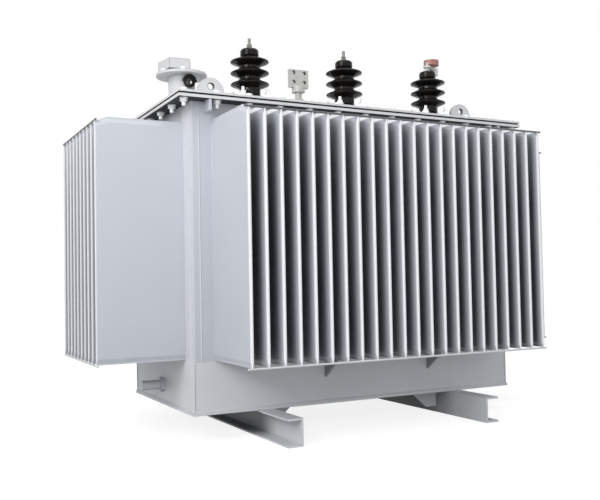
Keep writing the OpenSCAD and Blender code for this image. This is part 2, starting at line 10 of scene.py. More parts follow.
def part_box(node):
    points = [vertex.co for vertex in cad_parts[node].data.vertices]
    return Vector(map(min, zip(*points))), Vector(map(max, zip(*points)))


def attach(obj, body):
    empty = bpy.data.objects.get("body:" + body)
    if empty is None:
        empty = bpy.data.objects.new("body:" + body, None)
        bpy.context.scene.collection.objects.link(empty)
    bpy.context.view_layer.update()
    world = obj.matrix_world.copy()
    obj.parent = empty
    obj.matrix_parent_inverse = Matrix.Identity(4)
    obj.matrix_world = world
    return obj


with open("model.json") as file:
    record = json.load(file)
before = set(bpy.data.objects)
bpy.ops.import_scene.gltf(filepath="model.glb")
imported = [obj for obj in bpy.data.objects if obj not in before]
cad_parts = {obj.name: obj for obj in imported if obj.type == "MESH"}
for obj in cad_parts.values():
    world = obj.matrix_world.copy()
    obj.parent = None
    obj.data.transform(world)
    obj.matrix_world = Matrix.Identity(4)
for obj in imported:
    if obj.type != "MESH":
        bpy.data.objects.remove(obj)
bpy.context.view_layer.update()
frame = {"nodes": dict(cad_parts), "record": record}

bl_info = {
    "name": "Corrugated-tank transformer",
    "version": (1, 0, 0),
    "blender": (4, 5, 0),
    "location": "3D View > Sidebar > Transformer",
    "description": "Fasteners, welds, finishes and studio for the packed transformer",
    "category": "Object",
}

# Corners and mounts of the CAD pieces that others are placed by
COVER_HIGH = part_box("cover_plate")[1]
FLOOR_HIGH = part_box("floor_plate")[1]
POST_LOW, POST_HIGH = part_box("corner_posts")
FRONT_LOW, FRONT_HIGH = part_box("fins_front")
LEFT_LOW, LEFT_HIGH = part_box("fins_left")
TOP_Z = COVER_HIGH.z
UNDER_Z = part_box("flange_front")[0].z
MOUNTS = {mount["name"]: mount for mount in frame["record"]["mounts"]}

# Sizes of the CAD pieces that their boxes don't give, in metres
FIN_PITCH = 0.05
FIN_THICK = 0.012
POST_LEG = 0.025
HV_FOOT_R = 0.052
LV_FOOT_R = 0.050
NEUTRAL_SCALE = 0.75
CLAW_HEIGHT = 0.032
GAUGE_FOOT_THICK = 0.008
WINDOW_TURN = math.radians(5)
WINDOW_HEIGHT = 0.074
WINDOW_SEAT = 0.0575

# Where studs and bolts stand: outside a bushing's foot, and inside the rims of the gauge's foot
# and top flange
CLAW_STUD_OUT = 0.009
GAUGE_FOOT_INSET = 0.0095
GAUGE_TOP_INSET = 0.012

# Coats of sprayed enamel: inputs of the SprayedEnamel group
# Low Shade darkens the tank and fin enamel towards the floor: painted shade
TANK_COAT = {"Mottle": 0.025, "Dust": 0.10, "Peel Scale": 700.0, "Fade": 0.16}
FIN_COAT = {"Mottle": 0.025, "Dust": 0.08, "Peel Scale": 700.0, "Fade": 0.16}
FITTING_COAT = {"Mottle": 0.02, "Dust": 0.08, "Peel Scale": 700.0}
LOWER_COAT = {"Mottle": 0.05, "Dust": 0.18, "Peel Scale": 620.0}

# Colours of dirt and painted shade, dust, painted light on the tank ends, jaw paint, wear and
# stains
DIRT_AND_SHADE = (0.05, 0.05, 0.055, 1)
UNDER_SHADE = (0.018, 0.018, 0.02, 1)
DUST = (0.46, 0.44, 0.41, 1)
END_LIGHT = (0.93, 0.94, 0.96, 1)
JAW_PAINT = (0.80, 0.80, 0.78)
BRASS_STAIN = (0.05, 0.04, 0.03)
COPPER_STAIN = (0.26, 0.12, 0.10)
TIN_STAIN = (0.36, 0.34, 0.30)
ZINC_STAIN = (0.55, 0.55, 0.54)

# Depth over which the painted shade between fins builds up: on the long sides, from left to
# right, and on the end walls
LONG_REACH = (0.060, 0.024)
END_REACH = 0.018
# Distance from the end of a fin at which its pinched seam starts, and from which it is painted
# paler all over as a painted highlight
PINCHED = (0.0135, 0.0115)


# Sizes and colours that a user may change

class FinishSettings(bpy.types.PropertyGroup):
    """Colours of the finishes"""
    tank: FloatVectorProperty(name="Tank enamel", description="Colour of tank and fins",
                              default=(0.60, 0.62, 0.67), subtype="COLOR", min=0, max=1)
    # Painted highlight: the paler colour on the fin folds and pinched ends
    fold_highlight: FloatVectorProperty(name="Fold edges", description="Worn, paler paint on the fin folds",
                              default=(0.95, 0.955, 0.97), subtype="COLOR", min=0, max=1)
    # Painted shade: the colour laid deep between the fins
    gap_shade: FloatVectorProperty(name="Grime", description="Colour of the dirt deep between the fins",
                               default=(0.045, 0.047, 0.055), subtype="COLOR", min=0, max=1)
    fitting: FloatVectorProperty(name="Fitting enamel", description="Colour of lugs, pipe and cap",
                                 default=(0.64, 0.64, 0.65), subtype="COLOR", min=0, max=1)
    rim: FloatVectorProperty(name="Rim enamel", description="Colour of cover and flange",
                             default=(0.74, 0.74, 0.745), subtype="COLOR", min=0, max=1)
    # Paler than the tank enamel, though both are one paint: painted light on the box walls and base
    lower: FloatVectorProperty(name="Lower enamel", description="Colour of box walls and base",
                               default=(0.64, 0.655, 0.68), subtype="COLOR", min=0, max=1)
    glaze: FloatVectorProperty(name="Glaze", description="Colour of the porcelain glaze",
                               default=(0.006, 0.005, 0.0045), subtype="COLOR", min=0, max=1)
    rubber: FloatVectorProperty(name="Rubber", description="Colour of gasket and window ring",
                                default=(0.006, 0.006, 0.0065), subtype="COLOR", min=0, max=1)
    copper: FloatVectorProperty(name="Copper", description="Colour of the cap on the line clamp",
                                default=(0.36, 0.17, 0.14), subtype="COLOR", min=0, max=1)
    tin: FloatVectorProperty(name="Tin", description="Colour of palms and terminal studs",
                             default=(0.55, 0.54, 0.51), subtype="COLOR", min=0, max=1)
    brass: FloatVectorProperty(name="Brass", description="Colour of the high-voltage studs",
                               default=(0.24, 0.23, 0.21), subtype="COLOR", min=0, max=1)
    zinc: FloatVectorProperty(name="Zinc", description="Colour of clamps, bolts and nuts",
                              default=(0.93, 0.93, 0.93), subtype="COLOR", min=0, max=1)


class FastenerSettings(bpy.types.PropertyGroup):
    """Sizes and numbers of the bolts and studs"""
    rim_pitch: FloatProperty(name="Rim bolt pitch", description="Distance between rim bolts",
                             default=0.104, min=0.06, max=0.2, unit="LENGTH")
    rim_inset: FloatProperty(name="Rim bolt inset", description="Distance of rim bolts from edge",
                             default=0.022, min=0.012, max=0.04, unit="LENGTH")
    rim_radius: FloatProperty(name="Rim bolt radius", description="Radius of a rim bolt",
                              default=0.006, min=0.003, max=0.01, unit="LENGTH")
    claw_radius: FloatProperty(name="Claw stud radius", description="Radius of a claw stud",
                               default=0.005, min=0.003, max=0.008, unit="LENGTH")
    foot_bolts: IntProperty(name="Pipe foot bolts", description="Bolts on the gauge pipe foot",
                            default=8, min=4, max=12)


class StageSettings(bpy.types.PropertyGroup):
    """Camera and light of the studio"""
    eye: FloatVectorProperty(name="Camera", description="Place of the camera",
                             default=(-1.39547, -2.53548, 0.47831), subtype="TRANSLATION",
                             unit="LENGTH")
    yaw: FloatProperty(name="Yaw", description="View direction, turned from +Y towards +X",
                       default=math.radians(27.43), subtype="ANGLE", unit="ROTATION")
    pitch: FloatProperty(name="Pitch", description="View direction above the horizon",
                         default=math.radians(2.15), subtype="ANGLE", unit="ROTATION")
    roll: FloatProperty(name="Roll", description="Roll of the camera",
                        default=math.radians(-1.07), subtype="ANGLE", unit="ROTATION")
    lens: FloatProperty(name="Lens", description="Focal length in millimetres", default=47.624,
                        min=10, max=200)
    sky: FloatProperty(name="Sky", description="Strength of the plain surrounding light",
                       default=0.58, min=0, max=3)
    key: FloatProperty(name="Key lamp", description="Power of the large lamp at the upper left",
                       default=68, min=0, max=3000, unit="POWER")
    top: FloatProperty(name="Top lamp", description="Power of the lamp above",
                       default=60, min=0, max=3000, unit="POWER")
    fill: FloatProperty(name="Fill lamp", description="Power of the low soft lamp in front",
                        default=22, min=0, max=1000, unit="POWER")
    spark: FloatProperty(name="Spark lamp", description="Power of the small lamp that glints",
                         default=22, min=0, max=500, unit="POWER")
    floor: FloatProperty(name="Floor", description="How much light the floor throws back",
                         default=0.50, min=0, max=0.8)


# Modelling helpers

def deselect():
    """Back to object mode, with nothing selected."""
    if bpy.context.object and bpy.context.object.mode != "OBJECT":
        bpy.ops.object.mode_set(mode="OBJECT")
    bpy.ops.object.select_all(action="DESELECT")


def activate(pieces):
    """Selects these pieces alone, with the first one active."""
    deselect()
    for piece in pieces:
        piece.select_set(True)
    bpy.context.view_layer.objects.active = pieces[0]


def pick_faces(piece, test):
    """In edit mode, selects the faces whose centre and normal pass the test."""
    mesh = bmesh.from_edit_mesh(piece.data)
    bpy.ops.mesh.select_mode(type="FACE")
    bpy.ops.mesh.select_all(action="DESELECT")
    for face in mesh.faces:
        face.select_set(bool(test(face.calc_center_median(), face.normal)))
    bmesh.update_edit_mesh(piece.data)


def grow(radius, new_radius, rise, centre):
    """Extrudes the selected end of a turned shape and scales it to its next radius."""
    bpy.ops.mesh.extrude_region_move(TRANSFORM_OT_translate={"value": (0, 0, rise)})
    if abs(new_radius - radius) > 1e-9:
        factor = new_radius / radius
        bpy.ops.transform.resize(value=(factor, factor, 1), center_override=centre)


def turned(name, shells):
    """Turned shells about Z as one piece: each has its sides, and (radius, height) from below."""
    deselect()
    piece = None
    for sides, profile in shells:
        radius, height = profile[0]
        if piece:
            bpy.ops.mesh.select_all(action="DESELECT")
        bpy.ops.mesh.primitive_circle_add(vertices=sides, radius=radius, fill_type="NGON",
                                          location=(0, 0, 0))
        if not piece:
            piece = bpy.context.object
            piece.name = piece.data.name = name
            bpy.ops.object.mode_set(mode="EDIT")
            bpy.ops.mesh.select_mode(type="FACE")
            bpy.ops.mesh.select_all(action="SELECT")
        bpy.ops.transform.translate(value=(0, 0, height))
        for new_radius, new_height in profile[1:]:
            grow(radius, new_radius, new_height - height, (0, 0, new_height))
            radius, height = new_radius, new_height
    bpy.ops.mesh.select_all(action="SELECT")
    bpy.ops.mesh.normals_make_consistent(inside=False)
    bpy.ops.object.mode_set(mode="OBJECT")
    return piece


def nut(radius, height, foot, sides=6):
    """Profile of a nut or bolt head with a bevelled crown."""
    edge = 0.12 * height
    return (sides, [(radius, foot), (radius, foot + height - edge),
                    (0.88 * radius, foot + height)])


def rod(radius, low, high, sides=12):
    """Profile of a stud end with its bevel."""
    edge = 0.25 * radius
    return (sides, [(radius, low), (radius, high - edge), (radius - edge, high)])


def washer(radius, foot, height, sides=20):
    """Profile of a washer with a worn upper edge."""
    edge = 0.2 * height
    return (sides, [(radius, foot), (radius, foot + height - edge), (radius - edge, foot + height)])


def fastener(name, washer_r, washer_thick, nut_r, nut_height, stud=None):
    """Washer and nut or bolt head on Z = 0, with the radius, foot and top of a stud end."""
    shells = [washer(washer_r, 0, washer_thick), nut(nut_r, nut_height, washer_thick)]
    if stud:
        shells.append(rod(*stud))
    return turned(name, shells)


def joined(name, pieces):
    """Makes one piece of several."""
    activate(pieces)
    if len(pieces) > 1:
        bpy.ops.object.join()
    piece = bpy.context.object
    piece.name = piece.data.name = name
    return piece


def repeated(model, name, places):
    """Copies a model to each place with its own mesh, and joins the copies under a name."""
    copies = []
    for place in places:
        one = model.copy()
        one.data = model.data.copy()
        one.data.transform(place)
        bpy.context.collection.objects.link(one)
        copies.append(one)
    bpy.data.objects.remove(model)
    return joined(name, copies)


def finished(piece, material, smooth=40):
    """Settles a piece: place in its mesh, shading, finish, and the body it rides on."""
    activate([piece])
    bpy.ops.object.transform_apply(location=True, rotation=True, scale=True)
    bpy.ops.object.shade_smooth_by_angle(angle=math.radians(smooth))
    piece.data.materials.clear()
    piece.data.materials.append(bpy.data.materials[material])
    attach(piece, "root")
    deselect()


def at(x, y, z, turn=0.0, tip=0.0):
    """Place of a copy: tipped about X, turned about Z and moved."""
    return (Matrix.Translation((x, y, z)) @ Matrix.Rotation(turn, 4, "Z")
            @ Matrix.Rotation(tip, 4, "X"))


def ring(x, y, z, radius, turns):
    """Places on a level circle, each turned to face outwards."""
    return [at(x + radius * math.cos(turn), y + radius * math.sin(turn), z, turn)
            for turn in turns]


def along(start, end):
    """Turns a shape made along Z so that it runs from start towards end."""
    start, end = Vector(start), Vector(end)
    turn = Vector((0, 0, 1)).rotation_difference((end - start).normalized())
    return Matrix.Translation(start) @ turn.to_matrix().to_4x4()


def bead(start, end, radius):
    """Weld bead from start to end: one ripple, repeated, with both ends closed."""
    length = (Vector(end) - Vector(start)).length
    count = max(2, round(length / (1.6 * radius)))
    ripple = length / count
    valley = 0.86 * radius
    piece = turned("bead", [(8, [(valley, 0), (radius, 0.3 * ripple), (radius, 0.7 * ripple),
                                 (valley, ripple)])])
    bpy.ops.object.mode_set(mode="EDIT")
    pick_faces(piece, lambda centre, normal: abs(normal.z) > 0.99)
    bpy.ops.mesh.delete(type="FACE")
    bpy.ops.object.mode_set(mode="OBJECT")
    activate([piece])
    array = piece.modifiers.new("Ripples", "ARRAY")
    array.use_relative_offset = False
    array.use_constant_offset = True
    array.constant_offset_displace = (0, 0, ripple)
    array.count = count
    array.use_merge_vertices = True
    array.merge_threshold = 0.02 * ripple
    bpy.ops.object.modifier_apply(modifier=array.name)
    bpy.ops.object.mode_set(mode="EDIT")
    bpy.ops.mesh.select_mode(type="EDGE")
    bpy.ops.mesh.select_all(action="SELECT")
    bpy.ops.mesh.fill_holes(sides=8)
    bpy.ops.mesh.select_all(action="SELECT")
    bpy.ops.mesh.normals_make_consistent(inside=False)
    bpy.ops.object.mode_set(mode="OBJECT")
    piece.data.transform(along(start, end))
    return piece


# Node helpers

def blank_tree(owner):
    """The emptied node tree of a material or world."""
    owner.use_nodes = True
    owner.node_tree.nodes.clear()
    return owner.node_tree


def link_all(tree, pairs):
    for source, target in pairs:
        tree.links.new(source, target)


def feed(tree, socket, value):
    """Links a socket to another one, or sets it to a plain value."""
    if isinstance(value, bpy.types.NodeSocket):
        tree.links.new(value, socket)
    else:
        socket.default_value = value


def axes(tree, vector):
    """The X, Y and Z of a vector."""
    split = tree.nodes.new("ShaderNodeSeparateXYZ")
    tree.links.new(vector, split.inputs["Vector"])
    return tuple(split.outputs)


def noise(tree, vector, scale, detail=3.0, roughness=0.5):
    node = tree.nodes.new("ShaderNodeTexNoise")
    node.inputs["Detail"].default_value = detail
    node.inputs["Roughness"].default_value = roughness
    feed(tree, node.inputs["Scale"], scale)
    tree.links.new(vector, node.inputs["Vector"])
    return node.outputs["Fac"]


def spread(tree, value, low, high, to_low=0.0, to_high=1.0):
    """Maps a value between low and high to the range from to_low to to_high, and clamps it."""
    node = tree.nodes.new("ShaderNodeMapRange")
    for label, number in (("From Min", low), ("From Max", high), ("To Min", to_low),
                          ("To Max", to_high)):
        node.inputs[label].default_value = number
    tree.links.new(value, node.inputs["Value"])
    return node.outputs["Result"]


def maths(tree, operation, *values):
    node = tree.nodes.new("ShaderNodeMath")
    node.operation = operation
    for socket, value in zip(node.inputs, values):
        feed(tree, socket, value)
    return node.outputs["Value"]


def mixed(tree, blend, factor, first, second):
    """Mixes two colours: the Mix node has its colours at inputs 6 and 7 and at output 2."""
    node = tree.nodes.new("ShaderNodeMix")
    node.data_type = "RGBA"
    node.blend_type = blend
    for index, value in ((0, factor), (6, first), (7, second)):
        feed(tree, node.inputs[index], value)
    return node.outputs[2]


def darkened(tree, tone, mask, amount):
    """Darkens a colour where the mask is 1: painted shade, and along edges dirt as well."""
    return mixed(tree, "MIX", maths(tree, "MULTIPLY", mask, amount), tone, DIRT_AND_SHADE)


def new_group(name, inputs, outputs):
    """A shader group: a number or colour stands for each input, and None for the coordinates."""
    group = bpy.data.node_groups.new(name, "ShaderNodeTree")
    for label, value in inputs.items():
        if value is None:
            kind = "NodeSocketVector"
        else:
            kind = "NodeSocketColor" if isinstance(value, tuple) else "NodeSocketFloat"
        socket = group.interface.new_socket(name=label, in_out="INPUT", socket_type=kind)
        if value is not None:
            socket.default_value = value
    for label in outputs:
        kind = "NodeSocketColor" if label == "Color" else "NodeSocketFloat"
        group.interface.new_socket(name=label, in_out="OUTPUT", socket_type=kind)
    return group, group.nodes.new("NodeGroupInput"), group.nodes.new("NodeGroupOutput")


def use_group(tree, name, vector, values):
    """Places a shader group in a material with its own values."""
    node = tree.nodes.new("ShaderNodeGroup")
    node.node_tree = bpy.data.node_groups[name]
    tree.links.new(vector, node.inputs["Vector"])
    for label, value in values.items():
        node.inputs[label].default_value = value
    return node


# Shader groups

def enamel_group():
    """Sprayed enamel: mottling, orange peel, dust on top, painted shade on faces that look down,
    and painted shade darker towards the floor.
    """
    tree, given, out = new_group("SprayedEnamel", {
        "Vector": None, "Color": (0.6, 0.6, 0.6, 1), "Mottle": 0.04, "Dust": 0.1,
        "Peel Scale": 600.0, "Under": 0.0, "Fade": 0.0,
    }, ("Color", "Roughness", "Height"))
    vector = given.outputs["Vector"]
    clouds = noise(tree, vector, 3.2, 4.0, 0.55)
    shift = maths(tree, "MULTIPLY", spread(tree, clouds, 0.3, 0.7, -1.0, 1.0),
                  given.outputs["Mottle"])
    # Painted shade: the enamel darkens from 1 m down towards the floor
    low = spread(tree, axes(tree, vector)[2], 1.0, 0.15)
    low_shade = maths(tree, "MULTIPLY", low, given.outputs["Fade"])
    level = maths(tree, "SUBTRACT", maths(tree, "ADD", shift, 1.0), low_shade)
    grey = tree.nodes.new("ShaderNodeCombineColor")
    for channel in ("Red", "Green", "Blue"):
        tree.links.new(level, grey.inputs[channel])
    tone = mixed(tree, "MULTIPLY", 1.0, given.outputs["Color"], grey.outputs["Color"])
    geometry = tree.nodes.new("ShaderNodeNewGeometry")
    facing = axes(tree, geometry.outputs["Normal"])[2]
    up = spread(tree, facing, 0.55, 1.0)
    specks = spread(tree, noise(tree, vector, 45.0, 5.0, 0.7), 0.42, 0.72)
    dust = maths(tree, "MULTIPLY", maths(tree, "MULTIPLY", up, specks), given.outputs["Dust"])
    tone = mixed(tree, "MIX", dust, tone, DUST)
    # Painted shade: faces that look down are darkened
    down_shade = maths(tree, "MULTIPLY", spread(tree, facing, -0.6, -0.9), given.outputs["Under"])
    tone = mixed(tree, "MIX", down_shade, tone, UNDER_SHADE)
    peel = noise(tree, vector, given.outputs["Peel Scale"], 2.0, 0.5)
    rough = maths(tree, "ADD", spread(tree, clouds, 0.2, 0.8, 0.40, 0.50),
                  maths(tree, "MULTIPLY", dust, 0.5))
    link_all(tree, [(tone, out.inputs["Color"]), (rough, out.inputs["Roughness"]),
                    (peel, out.inputs["Height"])])


def fold_group():
    """Masks of a row of fins: painted shade deep between them, and painted highlight on folds and
    pinched ends.
    """
    tree, given, out = new_group("FinFolds", {
        "Depth": 0.0, "Span": 0.0, "Height": 0.0, "Tip": 1.0, "Outer": 1.0, "Low": 0.0,
        "High": 1.0, "Start": 0.004, "Reach": 0.06, "Vector": None,
    }, ("Grime", "Fold"))
    inside = maths(tree, "SUBTRACT", given.outputs["Tip"], given.outputs["Depth"])
    past = maths(tree, "SUBTRACT", inside, given.outputs["Start"])
    deep = spread(tree, maths(tree, "DIVIDE", past, given.outputs["Reach"]), 0.0, 1.0)
    clear = maths(tree, "SUBTRACT", given.outputs["Outer"], given.outputs["Span"])
    between = spread(tree, clear, 0.0045, 0.006)
    clouds = noise(tree, given.outputs["Vector"], 9.0, 4.0, 0.6)
    patchy = spread(tree, clouds, 0.25, 0.75, 0.85, 1.0)
    drop = maths(tree, "SUBTRACT", given.outputs["High"], given.outputs["Height"])
    rise = maths(tree, "SUBTRACT", given.outputs["Height"], given.outputs["Low"])
    # The painted shade is lighter towards the top of the fins
    lighter_high = spread(tree, drop, 0.0, 0.22, 0.62, 1.0)
    gap_shade = maths(tree, "MULTIPLY", maths(tree, "MULTIPLY", deep, between),
                  maths(tree, "MULTIPLY", patchy, lighter_high))
    # Painted highlight on the fold at each fin's tip and on its pinched ends
    tip = spread(tree, inside, 0.0035, 0.0008)
    top = spread(tree, drop, *PINCHED)
    foot = spread(tree, rise, *PINCHED, 0.0, 0.15)
    ends = maths(tree, "MULTIPLY", maths(tree, "MAXIMUM", top, foot), between)
    fold_highlight = maths(tree, "MAXIMUM", tip, ends)
    link_all(tree, [(gap_shade, out.inputs["Grime"]), (fold_highlight, out.inputs["Fold"])])


def edge_group():
    """Mask of the sharp edges of a piece, where dirt and shadow make a thin dark line."""
    tree, given, out = new_group("EdgeLines", {"Width": 0.002, "Vector": None}, ("Mask",))
    soft = tree.nodes.new("ShaderNodeBevel")
    soft.samples = 4
    sharp = tree.nodes.new("ShaderNodeNewGeometry")
    both = tree.nodes.new("ShaderNodeVectorMath")
    both.operation = "DOT_PRODUCT"
    broken = spread(tree, noise(tree, given.outputs["Vector"], 70.0, 3.0, 0.6), 0.3, 0.6, 0.7, 1.0)
    link_all(tree, [(given.outputs["Width"], soft.inputs["Radius"]),
                    (soft.outputs["Normal"], both.inputs[0]),
                    (sharp.outputs["Normal"], both.inputs[1])])
    line = spread(tree, both.outputs["Value"], 0.97, 0.80)
    tree.links.new(maths(tree, "MULTIPLY", line, broken), out.inputs["Mask"])


def rim_group():
    """Mask of a hole and its rim, from the distance to its axis."""
    tree, given, out = new_group("HoleRims", {
        "Across": 0.0, "Up": 0.0, "Radius": 0.01, "Vector": None,
    }, ("Mask",))
    squares = [maths(tree, "POWER", given.outputs[label], 2.0) for label in ("Across", "Up")]
    far = maths(tree, "SQRT", maths(tree, "ADD", *squares))
    wear_and_highlight = spread(tree, noise(tree, given.outputs["Vector"], 90.0), 0.3, 0.7, 0.9, 1.1)
    ratio = maths(tree, "DIVIDE", maths(tree, "MULTIPLY", far, wear_and_highlight), given.outputs["Radius"])
    tree.links.new(spread(tree, ratio, 1.06, 0.98), out.inputs["Mask"])


def metal_group():
    """Worn metal: stains, and a fine grain drawn along Z."""
    tree, given, out = new_group("WornMetal", {
        "Vector": None, "Color": (0.6, 0.6, 0.6, 1), "Stain": (0.2, 0.2, 0.2, 1),
        "Stain Amount": 0.3, "Roughness": 0.35,
    }, ("Color", "Roughness", "Height"))
    vector = given.outputs["Vector"]
    stretch = tree.nodes.new("ShaderNodeMapping")
    stretch.inputs["Scale"].default_value = (1.0, 1.0, 14.0)
    tree.links.new(vector, stretch.inputs["Vector"])
    streaks = noise(tree, stretch.outputs["Vector"], 160.0, 3.0, 0.6)
    stains = spread(tree, noise(tree, vector, 60.0, 5.0, 0.65), 0.45, 0.75)
    amount = maths(tree, "MULTIPLY", stains, given.outputs["Stain Amount"])
    tone = mixed(tree, "MIX", amount, given.outputs["Color"], given.outputs["Stain"])
    rough = maths(tree, "ADD", given.outputs["Roughness"],
                  spread(tree, streaks, 0.3, 0.7, -0.06, 0.1))
    link_all(tree, [(tone, out.inputs["Color"]), (rough, out.inputs["Roughness"]),
                    (streaks, out.inputs["Height"])])


# Touches: what one finish has besides its coat

def lit_ends(tree, vector, tone):
    """Painted light on the ends of the tank, past the long walls: their enamel is made paler."""
    x, y, z = axes(tree, vector)
    end = spread(tree, maths(tree, "ABSOLUTE", x), POST_HIGH.x - 0.006, POST_HIGH.x - 0.004)
    return mixed(tree, "MIX", maths(tree, "MULTIPLY", end, 0.25), tone, END_LIGHT)


def shade_under_tank(tree, vector, tone):
    """Painted shadow on the channels where the tank stands over them."""
    x, y, z = axes(tree, vector)
    beneath = spread(tree, maths(tree, "ABSOLUTE", y), FLOOR_HIGH.y + 0.03, FLOOR_HIGH.y - 0.09)
    return darkened(tree, tone, beneath, 0.62)


def shade_on_upper_rods(tree, vector, tone):
    """Painted shade on the upper rods."""
    x, y, z = axes(tree, vector)
    return darkened(tree, tone, spread(tree, z, 0.5, 0.7), 0.85)


def shaded_holes(radius, height, across, up=0.0, period=0.0):
    """Painted shade in holes along Y, on both sides of a height and of X = 0, or of each whole
    period.
    """
    def touch(tree, vector, tone):
        x, y, z = axes(tree, vector)
        if period:
            x = maths(tree, "WRAP", x, -period / 2, period / 2)
        beside = maths(tree, "SUBTRACT", maths(tree, "ABSOLUTE", x), across)
        above = maths(tree, "ABSOLUTE", maths(tree, "SUBTRACT", z, height))
        mask = use_group(tree, "HoleRims", vector, {"Radius": radius})
        link_all(tree, [(beside, mask.inputs["Across"]),
                        (maths(tree, "SUBTRACT", above, up), mask.inputs["Up"])])
        return darkened(tree, tone, mask.outputs["Mask"], 0.9)
    return touch


# Materials

def new_material(name):
    """A material with its shader, and the object coordinates that its pattern reads."""
    tree = blank_tree(bpy.data.materials.new(name))
    shader = tree.nodes.new("ShaderNodeBsdfPrincipled")
    output = tree.nodes.new("ShaderNodeOutputMaterial")
    tree.links.new(shader.outputs["BSDF"], output.inputs["Surface"])
    where = tree.nodes.new("ShaderNodeTexCoord")
    return tree, shader, where.outputs["Object"]


def add_bump(tree, shader, height, strength, distance):
    bump = tree.nodes.new("ShaderNodeBump")
    bump.inputs["Strength"].default_value = strength
    bump.inputs["Distance"].default_value = distance
    link_all(tree, [(height, bump.inputs["Height"]),
                    (bump.outputs["Normal"], shader.inputs["Normal"])])


def settle(tree, shader, tone, rough, gloss=None):
    """Links colour and roughness to the shader, and sets its gloss."""
    link_all(tree, [(tone, shader.inputs["Base Color"]), (rough, shader.inputs["Roughness"])])
    if gloss is not None:
        shader.inputs["Specular IOR Level"].default_value = gloss


def enamel(name, colour, coat, under_shade=0.0, lines=0.0, width=0.002, gloss=0.35, touch=None):
    """Enamel of a coat: painted shade on faces that look down, and dark lines of a width along
    edges.
    """
    tree, shader, vector = new_material(name)
    paint = use_group(tree, "SprayedEnamel", vector,
                      {**coat, "Color": (*colour, 1), "Under": under_shade})
    tone = paint.outputs["Color"]
    if lines:
        edges = use_group(tree, "EdgeLines", vector, {"Width": width})
        tone = darkened(tree, tone, edges.outputs["Mask"], lines)
    if touch:
        tone = touch(tree, vector, tone)
    settle(tree, shader, tone, paint.outputs["Roughness"], gloss)
    add_bump(tree, shader, paint.outputs["Height"], 0.06, 0.0004)


def fin_enamel(name, tones, long_side, highlight):
    """Tank enamel of a row of fins, with painted shade between them and painted highlights on the
    folds.
    """
    tree, shader, vector = new_material(name)
    paint = use_group(tree, "SprayedEnamel", vector, {**FIN_COAT, "Color": (*tones.tank, 1)})
    x, y, z = axes(tree, vector)
    across, back = maths(tree, "ABSOLUTE", x), maths(tree, "ABSOLUTE", y)
    if long_side:
        low, high, tip, outer = FRONT_LOW, FRONT_HIGH, -FRONT_LOW.y, FRONT_HIGH.x
        depth, span, start = back, across, 0.004
    else:
        low, high, tip, outer = LEFT_LOW, LEFT_HIGH, -LEFT_LOW.x, LEFT_HIGH.y
        depth, span, start = across, back, 0.001
    masks = use_group(tree, "FinFolds", vector, {"Tip": tip, "Outer": outer, "Low": low.z,
                                                 "High": high.z, "Start": start,
                                                 "Reach": END_REACH})
    link_all(tree, [(depth, masks.inputs["Depth"]), (span, masks.inputs["Span"]),
                    (z, masks.inputs["Height"])])
    if long_side:
        tree.links.new(spread(tree, x, low.x, high.x, *LONG_REACH), masks.inputs["Reach"])
    # Painted shade deep between the fins
    shaded = mixed(tree, "MIX", maths(tree, "MULTIPLY", masks.outputs["Grime"], 0.88),
                  paint.outputs["Color"], (*tones.gap_shade, 1))
    # Painted highlight on the folds and pinched ends
    wear_and_highlight = mixed(tree, "MIX", maths(tree, "MULTIPLY", masks.outputs["Fold"], highlight),
                 shaded, (*tones.fold_highlight, 1))
    rough = maths(tree, "SUBTRACT", paint.outputs["Roughness"],
                  maths(tree, "MULTIPLY", masks.outputs["Fold"], 0.12))
    settle(tree, shader, wear_and_highlight, rough, 0.35)
    add_bump(tree, shader, paint.outputs["Height"], 0.06, 0.0004)


def metal(name, colour, stain, amount, roughness, metallic, thread=0.0, touch=None):
    """Worn metal with stains; thread is how dense the rings of a screw thread are."""
    tree, shader, vector = new_material(name)
    bare = use_group(tree, "WornMetal", vector, {"Color": (*colour, 1), "Stain": (*stain, 1),
                                                 "Stain Amount": amount, "Roughness": roughness})
    tone = bare.outputs["Color"]
    if touch:
        tone = touch(tree, vector, tone)
    settle(tree, shader, tone, bare.outputs["Roughness"])
    shader.inputs["Metallic"].default_value = metallic
    if thread:
        wave = tree.nodes.new("ShaderNodeTexWave")
        wave.bands_direction = "Z"
        wave.inputs["Scale"].default_value = thread
        tree.links.new(vector, wave.inputs["Vector"])
        add_bump(tree, shader, wave.outputs["Fac"], 0.5, 0.0006)
    else:
        add_bump(tree, shader, bare.outputs["Height"], 0.08, 0.0003)


def glaze(name, colour):
    """Dark glaze, thinner and browner in soft patches, with an uneven surface."""
    tree, shader, vector = new_material(name)
    patches = spread(tree, noise(tree, vector, 22.0, 4.0, 0.6), 0.35, 0.75)
    browner = tuple(min(1.0, part * 2.6) for part in colour)
    tone = mixed(tree, "MIX", patches, (*colour, 1), (*browner, 1))
    rough = spread(tree, noise(tree, vector, 90.0, 2.0), 0.3, 0.7, 0.05, 0.10)
    settle(tree, shader, tone, rough, 0.18)
    add_bump(tree, shader, noise(tree, vector, 60.0, 2.0), 0.55, 0.004)


def rubber(name, colour, roughness, gloss):
    """Black rubber or glass with a pale bloom."""
    tree, shader, vector = new_material(name)
    bloom = spread(tree, noise(tree, vector, 38.0, 4.0, 0.6), 0.4, 0.8)
    pale = tuple(part + 0.018 for part in colour)
    tone = mixed(tree, "MIX", bloom, (*colour, 1), (*pale, 1))
    rough = spread(tree, noise(tree, vector, 120.0, 2.0), 0.3, 0.7, roughness, roughness + 0.12)
    settle(tree, shader, tone, rough, gloss)
    add_bump(tree, shader, noise(tree, vector, 420.0, 3.0), 0.12, 0.0004)


SLOT_MATERIALS = {
    "tank_paint": "tank_enamel", "base_paint": "lower_enamel", "gasket_rubber": "black_rubber",
    "brown_glaze": "dark_glaze", "stud_brass": "stud_metal", "bare_copper": "satin_copper",
    "tinned_metal": "tinned_surface", "clamp_metal": "zinc_surface", "window_black": "black_ring",
}
